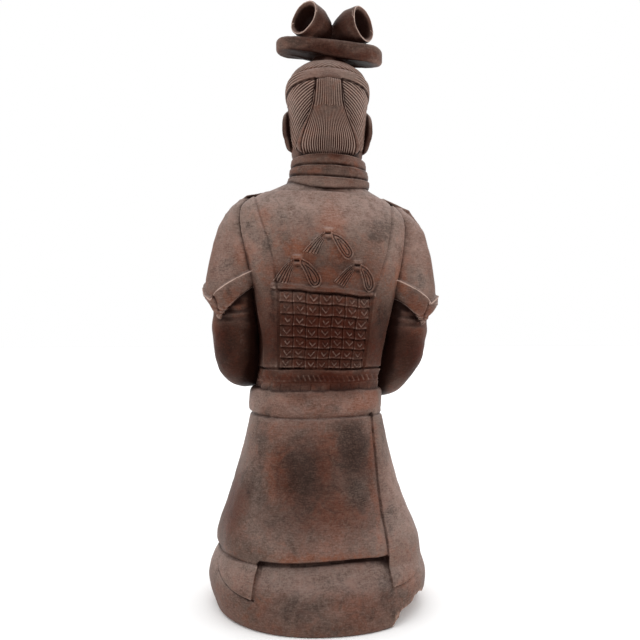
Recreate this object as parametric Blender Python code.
"""A standing warrior of fired clay, cut off at the hem. Metres, Z up, facing -Y, origin under the figure."""

import math

import bmesh
import bpy
from mathutils import Matrix, Vector

# Driving sizes in metres.
FIGURE_HEIGHT = 1.182  # floor to the top of the taller roll of the cap
CLOTH_THICK = 0.006  # how far a layer of cloth or armour stands out from the one below
BELT_HEIGHT = 0.051
BELT_RAISE = 0.004
HEM_BAND_HEIGHT = 0.041  # turned band on the short sleeves, at its slit
SLIT_WIDTH = 0.004  # slit in that band
PLATE_WIDTH = 0.0232
PLATE_HEIGHT = 0.0202
PLATE_THICK = 0.006
MARK_RAISE = 0.0035  # the raised V on each plate
RIB_RAISE = 0.005  # the ribs of the bows
COLLAR_ROLL_HEIGHT = 0.0215
SLAB_LENGTH = 0.212
SLAB_DEPTH = 0.060
SLAB_THICK = 0.028
ROLL_RADIUS = 0.037
ROLL_WALL = 0.006
RIBBON_HEIGHT = 0.022  # ribbon round the head
RIBBON_THICK = 0.004
CHIP_LENGTH = 0.190  # the piece broken off the hem
CHIP_HEIGHT = 0.038

# Counts.
BODY_SIDES = 28
HEAD_SIDES = 18
COLLAR_SIDES = 14
SLEEVE_SIDES = 14
ARM_SIDES = 12
ROLL_SIDES = 12
PLATE_COLUMNS = 7
PLATE_ROWS = 7
FRONT_PLATE_ROWS = 3
COLLAR_ROLLS = 3
LACE_STITCHES = 12

# Pose and proportions are shares of the height. One share is 1 mm on the figure as built.
SHARE = FIGURE_HEIGHT / 1182
EMBED = 12 * SHARE  # how deep an applied form sinks into what carries it

# Heights on the figure.
PANEL_CORNER = 70 * SHARE  # lowest point of the side panel
FLAP_CORNER = 53 * SHARE  # lowest point of the flap under the skirt
SKIRT_HEM = 115 * SHARE
SKIRT_TOP = 400 * SHARE
BELT_TOP = 422 * SHARE
PLATES_TOP = 602 * SHARE
ARMHOLE_FOOT = 432 * SHARE
VEST_FOOT = BELT_TOP - BELT_HEIGHT / 3
SLEEVE_HEM_FRONT = 598 * SHARE
SLEEVE_HEM_CORNER = 548 * SHARE
ARMHOLE_TOP = 786 * SHARE
SLEEVE_TOP = 787 * SHARE
COLLAR_FOOT = 818 * SHARE
NAPE = 872 * SHARE
CROWN = 1068 * SHARE
SLAB_MIDDLE = 1087 * SHARE

# Rows of a form, bottom to top: height, middle in Y, half width, depth behind, depth in front, squareness.
ROBE_ROWS = (
    (0, 0, 201, 219, 196, 2.2),
    (20, 0, 208, 216, 197, 2.15),
    (45, 0, 212, 209, 195, 2.15),
    (75, 0, 207, 199, 188, 2.2),
    (105, 0, 195, 184, 176, 2.2),
    (150, 0, 175, 160, 155, 2.2),
)
SKIRT_ROWS = (
    (60, 0, 200, 185, 177, 2.3),
    (112, 0, 197, 182, 174, 2.3),
    (145, 0, 192, 177, 169, 2.3),
    (194, 0, 174, 163, 156, 2.3),
    (234, 0, 160, 151, 146, 2.3),
    (294, 0, 144, 136, 133, 2.35),
    (353, 0, 131, 121, 122, 2.4),
    (400, 0, 123, 114, 116, 2.4),
)
TORSO_ROWS = (
    (380, 0, 122, 110, 113, 2.4),
    (425, 0, 121, 109, 112, 2.4),
    (470, 0, 119, 106, 110, 2.4),
    (520, 0, 124, 106, 108, 2.4),
    (580, 0, 136, 108, 108, 2.4),
    (640, 0, 149, 108, 107, 2.4),
    (700, 0, 161, 104, 103, 2.4),
    (740, 0, 167, 96, 94, 2.3),
    (765, 0, 165, 87, 83, 2.2),
    (783, 0, 148, 79, 74, 2.1),
    (800, 0, 120, 73, 66, 2.0),
    (822, 0, 80, 66, 60, 2.0),
    (850, 0, 62, 56, 52, 2.0),
)
SLEEVE_ROWS = (
    (540, 0, 52, 62, 62, 2.1),
    (595, 0, 58, 61, 61, 2.1),
    (620, 0, 60, 58, 58, 2.1),
    (660, 0, 61, 53, 53, 2.1),
    (700, 0, 60, 49, 49, 2.1),
    (732, 0, 54, 45, 45, 2.1),
    (755, 0, 44, 40, 40, 2.0),
    (772, 0, 33, 33, 33, 2.0),
    (787, 0, 18, 20, 20, 2.0),
)
HEAD_ROWS = (
    (820, 0, 60, 58, 52, 2.0),
    (850, 0, 61, 58, 54, 2.0),
    (868, -2, 62, 58, 76, 2.0),
    (880, -4, 63, 58, 88, 2.1),
    (900, -6, 66, 64, 92, 2.15),
    (930, -8, 70, 74, 93, 2.2),
    (965, -8, 73, 86, 93, 2.2),
    (1000, -8, 75, 91, 93, 2.15),
    (1028, -8, 74, 86, 88, 2.1),
    (1046, -6, 65, 74, 76, 2.0),
    (1060, -4, 46, 52, 54, 2.0),
    (1068, -4, 18, 20, 20, 2.0),
)

# Stance by height: height, shift to the figure's left, rise towards it, turn of the section in degrees.
STANCE_ROWS = (
    (0, 0, 0, 0),
    (100, 2, 0, 0),
    (200, 7, 0, 0),
    (360, 7, 0, 0),
    (412, 4, 0, 0),
    (460, -2, 0.025, 0),
    (520, -6, 0.03, 0),
    (620, -9, 0.035, 0),
    (740, -7, 0.035, 0),
    (780, -6, 0.04, 0),
    (806, -13, 0.045, 0),
    (830, -21, 0.05, -1),
    (880, -20, 0.03, -4),
    (1000, -20, 0.02, -5),
    (1080, -23, 0.06, -5),
    (1190, -24, 0.06, -5),
)

TURN = 2 * math.pi
HAIR_RAISE = 6 * SHARE  # the hair over the skull
LOCK_FOOT = 890 * SHARE  # the folded lock stands free of the skull below this


# Height and half width of the folded lock of hair.
LOCK_ROWS = (
    (872, 43),
    (882, 51),
    (896, 54),
    (916, 48.5),
    (935, 40),
    (951, 33),
    (970, 27.5),
    (1022, 23.5),
)


def read_row(rows, height):
    """The numbers of a table at a height, on a smooth curve through its rows."""
    at = height / SHARE
    last = len(rows) - 1
    k = next((i for i in range(last) if at < rows[i + 1][0]), last - 1)
    before, low, high, after = (rows[min(max(i, 0), last)] for i in (k - 1, k, k + 1, k + 2))
    t = min(max((at - low[0]) / (high[0] - low[0]), 0), 1)
    found = []
    for a, b, c, d in zip(before[1:], low[1:], high[1:], after[1:]):
        curve = 2 * b + (c - a) * t + (2 * a - 5 * b + 4 * c - d) * t**2 + (3 * b - a - 3 * c + d) * t**3
        found.append(curve / 2)
    return found


def stand(point):
    """Gives a point of the upright figure its place in the leaning, slightly turned one."""
    shift, rise, turn = read_row(STANCE_ROWS, point.z)
    turned = Matrix.Rotation(math.radians(turn), 3, "Z") @ point
    return turned + Vector((shift * SHARE, 0, rise * point.x))


def on_rows(rows, angle, height, raised=0.0, middle=0.0):
    """A point on the form that the rows describe. Angle 0 is the figure's left, a quarter turn its back."""
    middle_y, half, back, front, square = read_row(rows, height)
    cos, sin = math.cos(angle), math.sin(angle)
    depth = back if sin > 0 else front
    radius = (abs(cos / half) ** square + abs(sin / depth) ** square) ** (-1 / square) * SHARE
    across = (radius + raised) * cos + middle
    return Vector((across, (radius + raised) * sin + middle_y * SHARE, height))


def spread(start, end, count):
    """Evenly spaced numbers, both ends among them."""
    return [start + (end - start) * i / (count - 1) for i in range(count)]


def even(count):
    """Evenly spaced grid lines from 0 to 1."""
    return spread(0, 1, count)


def stepped(count, gap=0.02):
    """Grid lines from 0 to 1 with a close pair at each of the joints between count plates."""
    lines = [0.0]
    for joint in range(1, count):
        lines += [(joint - gap) / count, (joint + gap) / count]
    return lines + [1.0]


def ease(value):
    """Smooth step from 0 to 1."""
    value = min(max(value, 0), 1)
    return value * value * (3 - 2 * value)


def bump(value, middle, width):
    """A rounded hump of height 1."""
    return math.exp(-(((value - middle) / width) ** 2))


def new_collection(name):
    collection = bpy.data.collections.new(name)
    bpy.context.scene.collection.children.link(collection)
    return collection


def add_mesh(name, mesh, collection, helper=True):
    made = bpy.data.objects.new(name, mesh)
    collection.objects.link(made)
    made.hide_render = helper
    if helper:
        made.display_type = "WIRE"
    return made


def finish_form(name, work, collection):
    """Puts every point in the figure's stance, turns the faces out and keeps the form as an operand."""
    for vert in work.verts:
        vert.co = stand(vert.co)
    bmesh.ops.recalc_face_normals(work, faces=work.faces)
    mesh = bpy.data.meshes.new(name)
    work.to_mesh(mesh)
    work.free()
    return add_mesh(name, mesh, collection)


def loft(name, rings, collection):
    """A closed form through rings of equally many points."""
    work = bmesh.new()
    made = [[work.verts.new(point) for point in ring] for ring in rings]
    count = len(rings[0])
    for low, high in zip(made, made[1:]):
        for i in range(count):
            j = (i + 1) % count
            work.faces.new((low[i], low[j], high[j], high[i]))
    for ring in (made[0], made[-1]):
        middle = work.verts.new(sum((vert.co for vert in ring), Vector()) / count)
        for i in range(count):
            work.faces.new((ring[i], ring[(i + 1) % count], middle))
    return finish_form(name, work, collection)


def sheet(name, columns, rows, place, collection):
    """A closed slab on grid lines u and v. place(u, v, out) is an outer point, for out 0 an inner one."""
    work = bmesh.new()
    grids = []
    for out in (0, 1):
        grids.append([[work.verts.new(place(u, v, out)) for u in columns] for v in rows])
    for grid in grids:
        for low, high in zip(grid, grid[1:]):
            for i in range(len(columns) - 1):
                work.faces.new((low[i], low[i + 1], high[i + 1], high[i]))
    borders = []
    for grid in grids:
        right = [row[-1] for row in grid[1:-1]]
        left = [row[0] for row in grid[1:-1]]
        borders.append(grid[0] + right + grid[-1][::-1] + left[::-1])
    count = len(borders[0])
    for i in range(count):
        j = (i + 1) % count
        work.faces.new((borders[0][i], borders[0][j], borders[1][j], borders[1][i]))
    return finish_form(name, work, collection)


def ellipsoid(name, middle, radii, collection, turn=None, sides=10, rings=6):
    """A stretched ball. turn is a rotation matrix."""
    work = bmesh.new()
    bmesh.ops.create_uvsphere(work, u_segments=sides, v_segments=rings, radius=1)
    bmesh.ops.scale(work, vec=radii, verts=work.verts)
    if turn:
        bmesh.ops.rotate(work, matrix=turn, verts=work.verts)
    bmesh.ops.translate(work, vec=middle, verts=work.verts)
    return finish_form(name, work, collection)


def make_robe(forms):
    """The long robe below the skirt, down to the floor. It is the body that every other form joins."""
    angles = spread(0, TURN, BODY_SIDES + 1)[:-1]
    rings = []
    for height, drawn_in in ((0, 0), (22, 0), (48, 0), (80, 1), (104, 5)):
        ring = []
        for angle in angles:
            inwards = -drawn_in * SHARE * math.sin(angle) ** 2
            ring.append(on_rows(ROBE_ROWS, angle, height * SHARE, inwards))
        rings.append(ring)
    return loft("warrior_figure", rings, forms)


def skirt_hem(angle):
    """Height of the upper skirt's hem, a little lower on the figure's left side."""
    return SKIRT_HEM - 11 * SHARE * max(0, math.cos(angle)) ** 2


def skirt_point(angle, height, raised=0.0):
    """The skirt with three soft lengthwise folds on each side, stronger towards the hem."""
    depth = ease((390 * SHARE - height) / (300 * SHARE))
    fold = 2.2 * SHARE * depth * math.cos(9 * angle + 0.6)
    return on_rows(SKIRT_ROWS, angle, height, raised + fold)


def make_skirt(forms):
    angles = spread(0, TURN, BODY_SIDES + 1)[:-1]
    rings = []
    for share in (0, 0.12, 0.34, 0.62, 1):
        ring = []
        for angle in angles:
            hem = skirt_hem(angle)
            proud = 4 * SHARE * math.sin(angle) ** 2 * ease(1 - share / 0.3)
            ring.append(skirt_point(angle, hem + (SKIRT_TOP - hem) * share, proud))
        rings.append(ring)
    loft("skirt", rings, forms)


def outer_point(angle, height, raised):
    """A point over the skirt, and below the skirt's hem over the robe where that stands out further."""
    robe = on_rows(ROBE_ROWS, angle, height)
    skirt = skirt_point(angle, height)
    below_hem = math.hypot(robe.x, robe.y) - 2 * max(height - 100 * SHARE, 0)
    reach = max(below_hem, math.hypot(skirt.x, skirt.y)) + raised
    return Vector((reach * math.cos(angle), reach * math.sin(angle), height))


def make_right_panel(forms):
    """The panel that overlaps the skirt on the right. Its edge hangs straight to a low corner."""
    far_edge = math.radians(262)

    def place(u, v, out):
        low = PANEL_CORNER + (SKIRT_HEM - 14 * SHARE - PANEL_CORNER) * ease(u * 2.4)
        near_edge = math.radians(127 + 16 * v)
        angle = near_edge + (far_edge - near_edge) * u
        height = low + (SKIRT_TOP - 8 * SHARE - low) * v
        lifted = 3 * SHARE * (1 - v) ** 2 * (1 - u) ** 3
        return outer_point(angle, height, CLOTH_THICK + lifted if out else -EMBED)

    sheet("right_panel", even(8), even(5), place, forms)


def make_left_flap(forms):
    """The folded corner under the skirt's hem on the left: its lower edge climbs to the hem at the side."""

    def place(u, v, out):
        low = FLAP_CORNER + (27 * u + 18 * u**4) * SHARE
        height = low + (SKIRT_HEM + 6 * SHARE - low) * v
        angle = math.radians(52.2 - 38 * u)
        return on_rows(ROBE_ROWS, angle, height, CLOTH_THICK * (1.4 - 0.7 * u) if out else -EMBED)

    sheet("left_flap", even(4), even(2), place, forms)


def belt_ring(height, raised):
    angles = spread(0, TURN, BODY_SIDES + 1)[:-1]
    return [on_rows(TORSO_ROWS, angle, height, raised) for angle in angles]


def make_belt(forms):
    foot = BELT_TOP - BELT_HEIGHT
    step = CLOTH_THICK + BELT_RAISE
    rings = [
        belt_ring(foot, 0.4 * step),
        belt_ring(foot + 0.12 * BELT_HEIGHT, step),
        belt_ring(BELT_TOP - 0.12 * BELT_HEIGHT, step),
        belt_ring(BELT_TOP, 0.5 * step),
    ]
    loft("belt", rings, forms)


def make_torso(forms):
    angles = spread(0, TURN, BODY_SIDES + 1)[:-1]
    rings = []
    for height in (385, 470, 560, 650, 725, 758, 782, 800, 820, 850):
        rings.append([on_rows(TORSO_ROWS, angle, height * SHARE) for angle in angles])
    loft("torso", rings, forms)


def armhole(height):
    """Angle of the vest's armhole edge, measured from the figure's side."""
    up = (height - ARMHOLE_FOOT) / (ARMHOLE_TOP - ARMHOLE_FOOT)
    return math.radians(27 - 15 * min(max(up, 0), 1))


def across(angle, front):
    """Mirrors an angle from the back to the front."""
    return -angle if front else angle


def make_vest(front, forms):
    """The armour vest between its two armholes, on the back or the front."""

    def place(u, v, out):
        height = VEST_FOOT + (ARMHOLE_TOP + 14 * SHARE - VEST_FOOT) * v
        edge = armhole(height) + math.radians(5)
        angle = edge + (math.pi - 2 * edge) * u
        return on_rows(TORSO_ROWS, across(angle, front), height, CLOTH_THICK if out else -EMBED)

    sheet("vest_front" if front else "vest_back", even(9), even(7), place, forms)


def strap_inner(height):
    """Angle of the strap's inner edge: from the collar to the top corner of the plates, then straight down."""
    up = min(max((height - PLATES_TOP) / (ARMHOLE_TOP - PLATES_TOP), 0), 1)
    return math.radians(47 - 12 * up)


def make_strap(side, front, forms):
    """The raised border of the vest along one armhole. Its outer edge sinks into the body near the sleeve."""
    sinks_from = SLEEVE_HEM_FRONT - (80 if front else 20) * SHARE

    def place(u, v, out):
        height = VEST_FOOT + 2 * SHARE + (ARMHOLE_TOP + 18 * SHARE - VEST_FOOT) * v
        edge = armhole(height)
        angle = edge + (strap_inner(height) - edge) * u
        angle = angle if side > 0 else math.pi - angle
        sunk = ease((height - sinks_from) / (20 * SHARE)) * (1 - u)
        raised = 1.4 * CLOTH_THICK * (1 - sunk) - EMBED / 4 * sunk if out else -EMBED
        return on_rows(TORSO_ROWS, across(angle, front), height, raised)

    sheet("strap", even(2), even(7), place, forms)


def angle_over(surface, x):
    """The angle from 0 to half a turn at which a surface stands over a given x, found by halving."""
    low, high = 0.0, math.pi
    for _ in range(30):
        middle = (low + high) / 2
        if surface(middle).x > x:
            low = middle
        else:
            high = middle
    return (low + high) / 2


def torso_angle(x, height, front):
    """The signed angle at which the torso stands over x at a height, on its back or front."""
    return across(angle_over(lambda angle: on_rows(TORSO_ROWS, angle, height), x), front)


def torso_frame(x, height, front, raised):
    """A matrix whose origin lies on the vest at x and height, X across, Y up and Z out of the surface."""
    delta = 4 * SHARE
    angle = torso_angle(x, height, front)
    here = on_rows(TORSO_ROWS, angle, height, raised)
    above = on_rows(TORSO_ROWS, torso_angle(x, height + delta, front), height + delta, raised)
    beside = on_rows(TORSO_ROWS, torso_angle(x + delta, height, front), height, raised)
    up = (above - here).normalized()
    out = (beside - here).cross(up).normalized()
    if out.y * (-1 if front else 1) < 0:
        out = -out
    right = up.cross(out)
    frame = Matrix((right, up, out)).transposed().to_4x4()
    frame.translation = here
    return frame


def place_form(name, work, frame, forms):
    bmesh.ops.transform(work, matrix=frame, verts=work.verts)
    return finish_form(name, work, forms)


def make_mark(x, height, forms):
    """The raised V on a plate, as a dart with its peak near the foot."""
    arm = 0.30 * PLATE_WIDTH
    rise = 0.30 * PLATE_HEIGHT
    work = bmesh.new()
    corners = ((-arm, rise, 0), (0, 0.1 * rise, 0), (arm, rise, 0), (0, -rise, 0))
    left, notch, right, foot = (work.verts.new(corner) for corner in corners)
    peak = work.verts.new((0, -0.4 * rise, PLATE_THICK + MARK_RAISE))
    for corner, following in ((left, notch), (notch, right), (right, foot), (foot, left)):
        work.faces.new((corner, following, peak))
    work.faces.new((left, notch, foot))
    work.faces.new((notch, right, foot))
    place_form("mark", work, torso_frame(x, height, False, CLOTH_THICK), forms)


def make_plates(front, forms):
    """The field of overlapping plates. Each stands out most at its foot. The front has no marks."""
    rows = FRONT_PLATE_ROWS if front else PLATE_ROWS
    width = PLATE_COLUMNS * PLATE_WIDTH
    tall = rows * PLATE_HEIGHT

    def place(u, v, out):
        x = width * (0.5 - u)
        height = PLATES_TOP - tall * (1 - v)
        from_foot = v * rows % 1 if v < 1 else 1
        from_side = u * PLATE_COLUMNS % 1 if u < 1 else 1
        raised = CLOTH_THICK + PLATE_THICK * (1 - 0.45 * from_foot - 0.2 * from_side) if out else -EMBED
        return on_rows(TORSO_ROWS, torso_angle(x, height, front), height, raised)

    sheet("plates", stepped(PLATE_COLUMNS), stepped(rows), place, forms)
    if front:
        return
    for row in range(rows):
        for column in range(PLATE_COLUMNS):
            x = PLATE_WIDTH * (column - (PLATE_COLUMNS - 1) / 2)
            make_mark(x, PLATES_TOP - PLATE_HEIGHT * (row + 0.5), forms)


def make_ledge(front, forms):
    """The lip of the upper vest that the plates hang from."""
    reach = PLATE_WIDTH * PLATE_COLUMNS / 2 + 5 * SHARE

    def place(u, v, out):
        x = reach * (1 - 2 * u)
        height = PLATES_TOP + (12 * v - 5) * SHARE + 0.03 * x
        raised = CLOTH_THICK + PLATE_THICK * (1.5 - 0.9 * v) if out else -EMBED
        return on_rows(TORSO_ROWS, torso_angle(x, height, front), height, raised)

    sheet("ledge", even(8), even(2), place, forms)


def make_bow_end(x, height, side, front, forms):
    """One ribbed end of a bow, hanging at a slant from its knot."""
    ribs = 2 if front else 3
    length = 46 * SHARE
    slant = math.radians(46)
    along = Vector((side * math.cos(slant), -math.sin(slant)))
    beside = Vector((along.y, -along.x)) * side

    def place(u, v, out):
        width = (4 + 10.5 * v) * SHARE
        reach = length * v * (1 - 0.10 * abs(2 * u - 1))
        at = Vector((x, height)) + along * reach + beside * width * (2 * u - 1)
        rib = 0.45 + 0.55 * abs(math.cos(math.pi * (ribs - 1) * u))
        raised = CLOTH_THICK + RIB_RAISE * rib * (1 - 0.35 * v) if out else -EMBED
        return on_rows(TORSO_ROWS, torso_angle(at.x, at.y, front), at.y, raised)

    sheet("bow_end", even(2 * ribs - 1), even(2), place, forms)


def make_bow(x, height, front, forms):
    """A ribbon bow: a knot with two ribbed ends."""
    for side in (-1, 1):
        make_bow_end(x, height, side, front, forms)
    work = bmesh.new()
    bmesh.ops.create_uvsphere(work, u_segments=6, v_segments=4, radius=1)
    bmesh.ops.scale(work, vec=(6 * SHARE, 7.5 * SHARE, RIB_RAISE * 1.7), verts=work.verts)
    place_form("knot", work, torso_frame(x, height + 2 * SHARE, front, CLOTH_THICK), forms)


def make_lace(forms):
    """The laced cord under the plates: slanting stitches in a row between two bands."""
    row = PLATES_TOP - PLATE_ROWS * PLATE_HEIGHT
    reach = PLATE_WIDTH * PLATE_COLUMNS / 2 + 12 * SHARE
    for i in range(LACE_STITCHES):
        x = reach * (2 * (i + 0.5) / LACE_STITCHES - 1)
        work = bmesh.new()
        bmesh.ops.create_cube(work, size=1)
        bmesh.ops.scale(work, vec=(4.5 * SHARE, 11 * SHARE, 8 * SHARE), verts=work.verts)
        bmesh.ops.rotate(work, matrix=Matrix.Rotation(math.radians(-38), 3, "Z"), verts=work.verts)
        place_form("stitch", work, torso_frame(x, row - 19 * SHARE, False, CLOTH_THICK), forms)


def sleeve_point(angle, height, raised, side):
    """A point on the short sleeve of one side, angle 0 pointing outwards. The right one is fuller."""
    up = ease((height / SHARE - 560) / 225)
    middle = (178 - 32 * up - 6 * up * (1 - up)) * SHARE
    if side < 0:
        fuller = 5 * bump(height, 690 * SHARE, 40 * SHARE) + 9 * bump(height, 748 * SHARE, 32 * SHARE)
        raised += fuller * SHARE * max(math.cos(angle), 0)
    point = on_rows(SLEEVE_ROWS, angle, height, raised, middle)
    point.x *= side
    return point


def sleeve_hem(angle):
    """Height of the short sleeve's hem: level in front, and behind it drops to a corner on the outer side."""
    across_by = abs(sleeve_point(angle, SLEEVE_HEM_FRONT, 0, 1).x / SHARE - 196)
    drop = SLEEVE_HEM_CORNER + (1.3 * across_by - 0.0066 * across_by**2) * SHARE
    behind = ease((math.sin(angle) + 0.2) / 0.7)
    return SLEEVE_HEM_FRONT * (1 - behind) + drop * behind


def sleeve_lip(angle):
    """Height of the top of the sleeve's band: it dips to the slit on the outer side of the back."""
    across_by = 211 - sleeve_point(angle, SLEEVE_HEM_FRONT, 0, 1).x / SHARE
    rise = 52 * (max(across_by, 0) / 61) ** 0.55 + 0.7 * max(-across_by, 0)
    dip = SLEEVE_HEM_CORNER + HEM_BAND_HEIGHT + rise * SHARE
    in_front = SLEEVE_HEM_FRONT + HEM_BAND_HEIGHT * (0.35 + 0.6 * ease(-math.sin(angle) / 0.6))
    behind = ease((math.sin(angle) + 0.2) / 0.7)
    return in_front * (1 - behind) + dip * behind


def make_sleeve(side, forms):
    """The short flared sleeve with its turned band."""
    angles = [TURN * (i + 0.5) / SLEEVE_SIDES for i in range(SLEEVE_SIDES)]
    rings = []
    for share in (0, 0.3, 0.6, 0.84, 1):
        ring = []
        for angle in angles:
            foot = sleeve_hem(angle) + HEM_BAND_HEIGHT / 3
            ring.append(sleeve_point(angle, foot + (SLEEVE_TOP - foot) * share, 0, side))
        rings.append(ring)
    loft("sleeve", rings, forms)
    rings = []
    for up, raised in ((0, 0.6), (0.1, 1), (0.85, 1), (1, 0.3)):
        ring = []
        for angle in angles:
            height = sleeve_hem(angle) + (sleeve_lip(angle) - sleeve_hem(angle)) * up
            ring.append(sleeve_point(angle, height, CLOTH_THICK * raised, side))
        rings.append(ring)
    loft("sleeve_band", rings, forms)


def make_arm(side, forms):
    """Upper arm, elbow and forearm in a long sleeve, out to a wide cuff in front of the belly."""
    # Middle of each section in X, Y, Z, its radius across and its radius in the upright direction.
    stations = (
        (164, 0, 640, 37, 40),
        (170, 0, 580, 45, 45),
        (170, -2, 530, 47, 48),
        (166, -8, 496, 47, 52),
        (150, -34, 470, 47, 54),
        (126, -68, 464, 44, 51),
        (97, -104, 466, 42, 47),
        (66, -131, 474, 41, 45),
        (40, -146, 480, 38, 42),
    )
    droop = 11 * side - 7
    middles = []
    for x, y, z, _, _ in stations:
        middles.append(Vector((x, y, z + droop * bump(z, 466, 16) * bump(x, 140, 40))))
    rings = []
    for i, station in enumerate(stations):
        ahead = middles[min(i + 1, len(middles) - 1)] - middles[max(i - 1, 0)]
        ahead.normalize()
        level = Vector((-ahead.y, ahead.x, 0)) if abs(ahead.z) < 0.9 else Vector((1, 0, 0))
        level = (level - level.project(ahead)).normalized()
        if level.x < 0:
            level = -level
        other = ahead.cross(level).normalized()
        ring = []
        for k in range(ARM_SIDES):
            angle = TURN * k / ARM_SIDES
            crease = 1 + 0.035 * math.cos(3 * angle + 1.7 * i)
            spoke = level * station[3] * math.cos(angle) + other * station[4] * math.sin(angle)
            point = middles[i] + spoke * crease
            ring.append(Vector((point.x * side, point.y, point.z)) * SHARE)
        rings.append(ring)
    loft("arm", rings, forms)


def make_hands(forms):
    """Hands folded over each other in front of the belly, the right one outside."""
    palm = Vector((14, -158, 478)) * SHARE
    ellipsoid("left_hand", palm, Vector((40, 24, 27)) * SHARE, forms, sides=8, rings=5)
    palm = Vector((-22, -176, 482)) * SHARE
    ellipsoid("right_hand", palm, Vector((34, 17, 27)) * SHARE, forms, sides=8, rings=5)
    for finger in range(4):
        height = 499 - 12.5 * finger
        middle = Vector((16 - 2.5 * abs(finger - 1), -181 + 1.5 * finger, height)) * SHARE
        ellipsoid("finger", middle, Vector((31, 8.5, 6.8)) * SHARE, forms, sides=6, rings=4)
    ellipsoid("thumb", Vector((-4, -172, 509)) * SHARE, Vector((27, 9, 8)) * SHARE, forms, sides=6, rings=4)


def make_collar(forms):
    """Thick rolls stacked round the neck, each a little narrower than the one below."""
    rings = []
    for roll in range(COLLAR_ROLLS):
        foot = COLLAR_FOOT + roll * COLLAR_ROLL_HEIGHT
        for up, raised in ((0, 0), (0.2, 1), (0.85, 1)):
            half = (77 - 3.4 * roll + 4 * raised) * SHARE
            depth = (73 - 3.0 * roll + 4 * raised) * SHARE
            ring = []
            for k in range(COLLAR_SIDES):
                angle = TURN * k / COLLAR_SIDES
                height = foot + COLLAR_ROLL_HEIGHT * up + 5 * SHARE * math.sin(angle)
                ring.append(Vector((half * math.cos(angle), depth * math.sin(angle), height)))
            rings.append(ring)
    loft("collar", rings, forms)


def face_relief(x, height):
    """How far a calm, even face stands out at x and height: brow, sockets, cheeks, mouth and chin."""
    px, pz = abs(x / SHARE), height / SHARE
    relief = 5.0 * bump(pz, 1003, 9) * bump(px, 22, 26)
    relief -= 9.0 * bump(pz, 982, 13) * bump(px, 29, 14)
    relief += 4.5 * bump(pz, 952, 17) * bump(px, 40, 17)
    relief += 7.0 * bump(pz, 923, 15) * bump(px, 0, 22)
    relief += 6.0 * bump(pz, 891, 12) * bump(px, 0, 17)
    relief -= 4.0 * bump(pz, 905, 6) * bump(px, 0, 16)
    return relief * SHARE


def head_point(angle, height, raised=0.0):
    point = on_rows(HEAD_ROWS, angle, height, raised)
    if math.sin(angle) < -0.3:
        facing = ease((-math.sin(angle) - 0.3) / 0.4)
        point.y -= face_relief(point.x, height) * facing
    return point


def head_angles():
    """Angles round the head, closer together on the face."""
    steps = spread(0, TURN, HEAD_SIDES + 1)[:-1]
    return [step - 0.5 * math.cos(step) for step in steps]


def make_head(forms):
    rings = []
    for height in (820, 860, 878, 893, 907, 922, 940, 958, 976, 994, 1024, 1060):
        rings.append([head_point(angle, height * SHARE) for angle in head_angles()])
    loft("head", rings, forms)


def make_features(forms):
    """Nose, lips, eyelids, moustache and ears."""
    tilt = Matrix.Rotation(math.radians(-14), 3, "X")
    bridge = Vector((0, -107, 958)) * SHARE
    ellipsoid("nose", bridge, Vector((9.5, 13, 29)) * SHARE, forms, turn=tilt, sides=6)
    tip = Vector((0, -114, 941)) * SHARE
    ellipsoid("nose_tip", tip, Vector((15, 12, 9)) * SHARE, forms, sides=8)
    for height, wide, deep in ((923, 21, 7.5), (914.5, 17, 7)):
        place = Vector((0, -106, height)) * SHARE
        ellipsoid("lip", place, Vector((wide, deep, 4.6)) * SHARE, forms, sides=8, rings=4)
    for side in (-1, 1):
        eye = Vector((side * 30, -91, 980)) * SHARE
        ellipsoid("eyelid", eye, Vector((14, 8, 7)) * SHARE, forms, sides=8, rings=4)
        lean = Matrix.Rotation(math.radians(side * 16), 3, "Y")
        whisker = Vector((side * 15, -105, 930)) * SHARE
        ellipsoid("moustache", whisker, Vector((16, 6, 4.2)) * SHARE, forms, turn=lean, sides=8, rings=4)
        turn = Matrix.Rotation(math.radians(side * -14), 3, "Z")
        ear = Vector((side * 78, -10, 934)) * SHARE
        ellipsoid("ear", ear, Vector((9.5, 25, 42)) * SHARE, forms, turn=turn, sides=7, rings=5)


def hairline(angle):
    """Lower edge of the hair: low at the nape, over the ears at the sides and high on the forehead."""
    back = ease((math.sin(angle) + 0.05) / 0.45)
    front = ease((-math.sin(angle) - 0.25) / 0.4)
    return (985 - 100 * back + 45 * front) * SHARE


def ribbon_foot(angle):
    """Lower edge of the ribbon round the head, a little higher at the back."""
    return (1010 + 4 * math.sin(angle)) * SHARE


def hair_ring(share, rise, raised, lowest=0.0):
    """A ring over the skull: a share of the way from the hairline to the ribbon, and a rise above that."""
    ring = []
    for angle in head_angles():
        low = hairline(angle)
        height = max(low + share * (ribbon_foot(angle) - low) + rise, lowest)
        ring.append(head_point(angle, height, raised))
    return ring


def make_hair(forms):
    """The combed hair as one mass over the skull, with the ribbon tied round it."""
    ribbon_raise = HAIR_RAISE + RIBBON_THICK
    rings = [
        hair_ring(0, 0, 0.35 * HAIR_RAISE),
        hair_ring(0.12, 0, HAIR_RAISE),
        hair_ring(0.6, 0, HAIR_RAISE),
        hair_ring(1, 0, 0.8 * HAIR_RAISE),
        hair_ring(1, 0.6 * SHARE, ribbon_raise),
        hair_ring(1, RIBBON_HEIGHT - SHARE, ribbon_raise),
        hair_ring(1, RIBBON_HEIGHT, 0.8 * HAIR_RAISE),
        hair_ring(1, RIBBON_HEIGHT + 12 * SHARE, 0.8 * HAIR_RAISE),
        hair_ring(1, RIBBON_HEIGHT + 2 * SHARE, 0.7 * HAIR_RAISE, lowest=CROWN - 10 * SHARE),
    ]
    top = Vector((0, 0, 0.7 * HAIR_RAISE))
    rings.append([on_rows(HEAD_ROWS, angle, CROWN) + top for angle in head_angles()])
    loft("hair", rings, forms)


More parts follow.
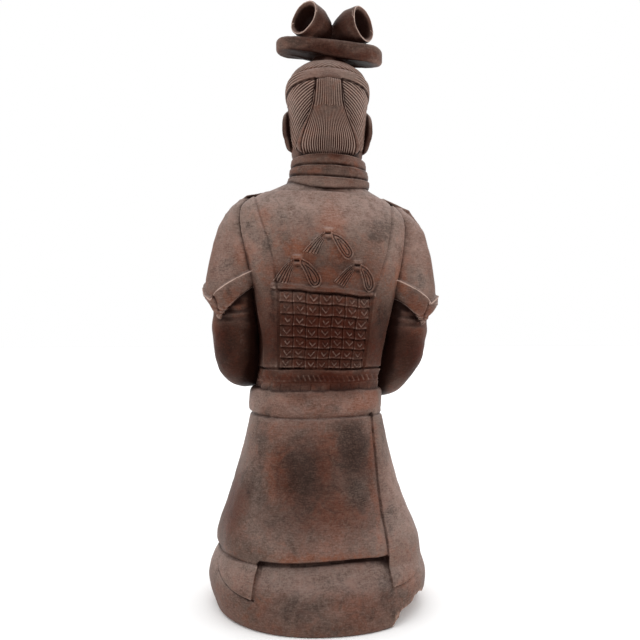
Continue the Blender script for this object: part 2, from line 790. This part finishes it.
def make_lock(forms):
    """The lock of hair that is folded up over the back of the head and tucked under the ribbon."""

    def place(u, v, out):
        height = NAPE + 148 * SHARE * v
        on_skull = max(height, LOCK_FOOT)
        half = read_row(LOCK_ROWS, height)[0] * SHARE
        angle = angle_over(lambda turn: head_point(turn, on_skull), half * (1 - 2 * u))
        groove = 1.2 * SHARE * math.cos(u * TURN * 4)
        thick = HAIR_RAISE + (2 + 9 * math.sin(math.pi * u) ** 0.6 * (1 - 0.8 * v)) * SHARE + groove
        point = head_point(angle, on_skull, thick if out else -EMBED)
        return Vector((point.x, point.y + 6 * SHARE * (1 - v), height))

    sheet("folded_lock", even(7), even(5), place, forms)


def make_slab(forms):
    """The cap's stem and the board with round ends that lies across it."""
    stem_middle = CROWN - 8 * SHARE
    stem_radii = Vector((46 * SHARE, 44 * SHARE, SLAB_MIDDLE - stem_middle - 3 * SHARE))
    ellipsoid("stem", Vector((0, 2 * SHARE, stem_middle)), stem_radii, forms, sides=10, rings=5)
    work = bmesh.new()
    bmesh.ops.create_cube(work, size=1)
    bmesh.ops.scale(work, vec=(SLAB_LENGTH, SLAB_DEPTH, SLAB_THICK), verts=work.verts)
    uprights = [edge for edge in work.edges if edge.verts[0].co.z * edge.verts[1].co.z < 0]
    bmesh.ops.bevel(work, geom=uprights, offset=SLAB_DEPTH * 0.47, segments=2, profile=0.5, affect="EDGES")
    levels = [edge for edge in work.edges if edge.verts[0].co.z * edge.verts[1].co.z > 0]
    bmesh.ops.bevel(work, geom=levels, offset=SLAB_THICK * 0.16, segments=1, affect="EDGES")
    everything = list(work.verts) + list(work.edges) + list(work.faces)
    bmesh.ops.bisect_plane(work, geom=everything, plane_co=(0, 0, 0), plane_no=(1, 0, 0))
    for vert in work.verts:
        vert.co.z -= abs(vert.co.x) * (0.055 if vert.co.x > 0 else 0.02)
    bmesh.ops.translate(work, vec=(0, 14 * SHARE, SLAB_MIDDLE), verts=work.verts)
    finish_form("slab", work, forms)


def roll_path(side):
    """Foot, bend and mouth of a roll: it rises out of the board and leans outwards into its mouth."""
    axis = Vector((0.72, 0.665, 0.2) if side > 0 else (-0.776, 0.615, 0.145)).normalized()
    foot = Vector((side * 5 * SHARE, 2 * SHARE, SLAB_MIDDLE + SLAB_THICK / 2 + 0.3 * ROLL_RADIUS))
    mouth = foot + Vector((47, 36, 34) if side > 0 else (-63, 21, 36)) * SHARE
    return foot, mouth - axis * ROLL_RADIUS, mouth


def roll_ring(path, share, radius):
    """A ring of points round the path of a roll, a share of the way along it."""
    foot, bend, mouth = path
    middle = foot * (1 - share) ** 2 + bend * (2 * share * (1 - share)) + mouth * share**2
    axis = ((bend - foot) * (1 - share) + (mouth - bend) * share).normalized()
    beside = axis.cross(Vector((0, 0, 1))).normalized()
    other = axis.cross(beside)
    ring = []
    for i in range(ROLL_SIDES):
        angle = TURN * i / ROLL_SIDES
        ring.append(middle + radius * (beside * math.cos(angle) + other * math.sin(angle)))
    return ring


def make_roll(side, forms, cuts):
    """One roll of the cap: a short bent horn that flares up and outwards to a hollow mouth."""
    path = roll_path(side)
    outer = []
    for share, width in ((-0.1, 0.3), (0.1, 0.55), (0.35, 0.85), (0.65, 1.0), (1, 0.94)):
        outer.append(roll_ring(path, share, ROLL_RADIUS * width))
    loft("roll", outer, forms)
    bore = []
    for share, width in ((0.42, 0.4), (0.65, 0.9), (1.12, 1.0)):
        bore.append(roll_ring(path, share, (0.94 * ROLL_RADIUS - ROLL_WALL) * width))
    loft("roll_mouth", bore, cuts)


def make_shoulder_tab(side, forms):
    """The thin plate that lies in front of each shoulder's ridge. Its back edge shows from behind."""
    # Distance from the figure's middle and height of the plate's back edge.
    ridge = ((120, 803), (152, 796), (191, 757)) if side > 0 else ((120, 806), (182, 785), (202, 758))

    def place(u, v, out):
        x = (120 + 72 * u) if side > 0 else (120 + 84 * u)
        y = 4 - 46 * v
        slope = [(b[1] - a[1]) / (b[0] - a[0]) for a, b in zip(ridge, ridge[1:])]
        top = ridge[1][1] + (x - ridge[1][0]) * (slope[0] if x < ridge[1][0] else slope[1])
        height = top * SHARE - (y * SHARE) ** 2 / (90 * SHARE)
        return Vector((side * x * SHARE, y * SHARE, height - (0 if out else CLOTH_THICK + EMBED)))

    sheet("shoulder_tab", even(3), even(2), place, forms)


def make_slit(side, cuts):
    """The slit in the sleeve's band, on the outer side of the back."""
    work = bmesh.new()
    bmesh.ops.create_cube(work, size=1)
    bmesh.ops.scale(work, vec=(SLIT_WIDTH, 40 * SHARE, 46 * SHARE), verts=work.verts)
    bmesh.ops.rotate(work, matrix=Matrix.Rotation(math.radians(side * -32), 3, "Z"), verts=work.verts)
    bmesh.ops.rotate(work, matrix=Matrix.Rotation(math.radians(side * 20), 3, "Y"), verts=work.verts)
    bmesh.ops.translate(work, vec=Vector((side * 205, 56, 568)) * SHARE, verts=work.verts)
    finish_form("slit", work, cuts)


def make_chip(cuts):
    """The piece missing from the hem behind the right side: an uneven lump taken out of the lower edge."""
    where = math.radians(147.5)
    work = bmesh.new()
    bmesh.ops.create_icosphere(work, subdivisions=2, radius=1)
    for vert in work.verts:
        x, y, z = vert.co
        vert.co *= 1 + 0.09 * math.sin(9 * x + 3 * z) + 0.07 * math.cos(7 * y - 5 * z)
    bmesh.ops.scale(work, vec=(CHIP_LENGTH / 2, 55 * SHARE, CHIP_HEIGHT), verts=work.verts)
    bmesh.ops.rotate(work, matrix=Matrix.Rotation(where + math.pi / 2, 3, "Z"), verts=work.verts)
    bmesh.ops.translate(work, vec=on_rows(ROBE_ROWS, where, 0), verts=work.verts)
    finish_form("chip", work, cuts)


def join_figure(body, forms, cuts):
    """Joins all forms to the body and then takes the cuts out of it."""
    for name, operation, collection in (("join", "UNION", forms), ("cut", "DIFFERENCE", cuts)):
        modifier = body.modifiers.new(name, "BOOLEAN")
        modifier.operation = operation
        modifier.operand_type = "COLLECTION"
        modifier.collection = collection
        modifier.solver = "MANIFOLD"  # EXACT leaves open edges where the cloth layers nearly touch


def clay():
    material = bpy.data.materials.new("fired_clay")
    material.use_nodes = True
    shader = material.node_tree.nodes["Principled BSDF"]
    shader.inputs["Base Color"].default_value = (0.11, 0.066, 0.05, 1)
    shader.inputs["Roughness"].default_value = 0.85
    shader.inputs["Metallic"].default_value = 0.0
    return material


def main():
    for old in list(bpy.data.objects):
        bpy.data.objects.remove(old)
    shown = new_collection("chinese_warrior_statue")
    forms = new_collection("forms")
    cuts = new_collection("cuts")
    body = make_robe(forms)
    make_skirt(forms)
    make_right_panel(forms)
    make_left_flap(forms)
    make_belt(forms)
    make_torso(forms)
    for front in (False, True):
        make_vest(front, forms)
        make_ledge(front, forms)
        make_plates(front, forms)
        for side in (-1, 1):
            make_strap(side, front, forms)
    make_lace(forms)
    for x, height in ((-2, 715), (58, 661), (-55, 657)):
        make_bow(x * SHARE, height * SHARE, False, forms)
    for x in (52, -52):
        make_bow(x * SHARE, 700 * SHARE, True, forms)
    for side in (-1, 1):
        make_sleeve(side, forms)
        make_arm(side, forms)
        make_shoulder_tab(side, forms)
        make_slit(side, cuts)
    make_hands(forms)
    make_collar(forms)
    make_head(forms)
    make_features(forms)
    make_hair(forms)
    make_lock(forms)
    make_slab(forms)
    for side in (-1, 1):
        make_roll(side, forms, cuts)
    make_chip(cuts)
    forms.objects.unlink(body)
    shown.objects.link(body)
    body.hide_render = False
    body.display_type = "TEXTURED"
    body.data.materials.append(clay())
    body.data.shade_smooth()
    body.data.set_sharp_from_angle(angle=math.radians(40))
    join_figure(body, forms, cuts)


main()
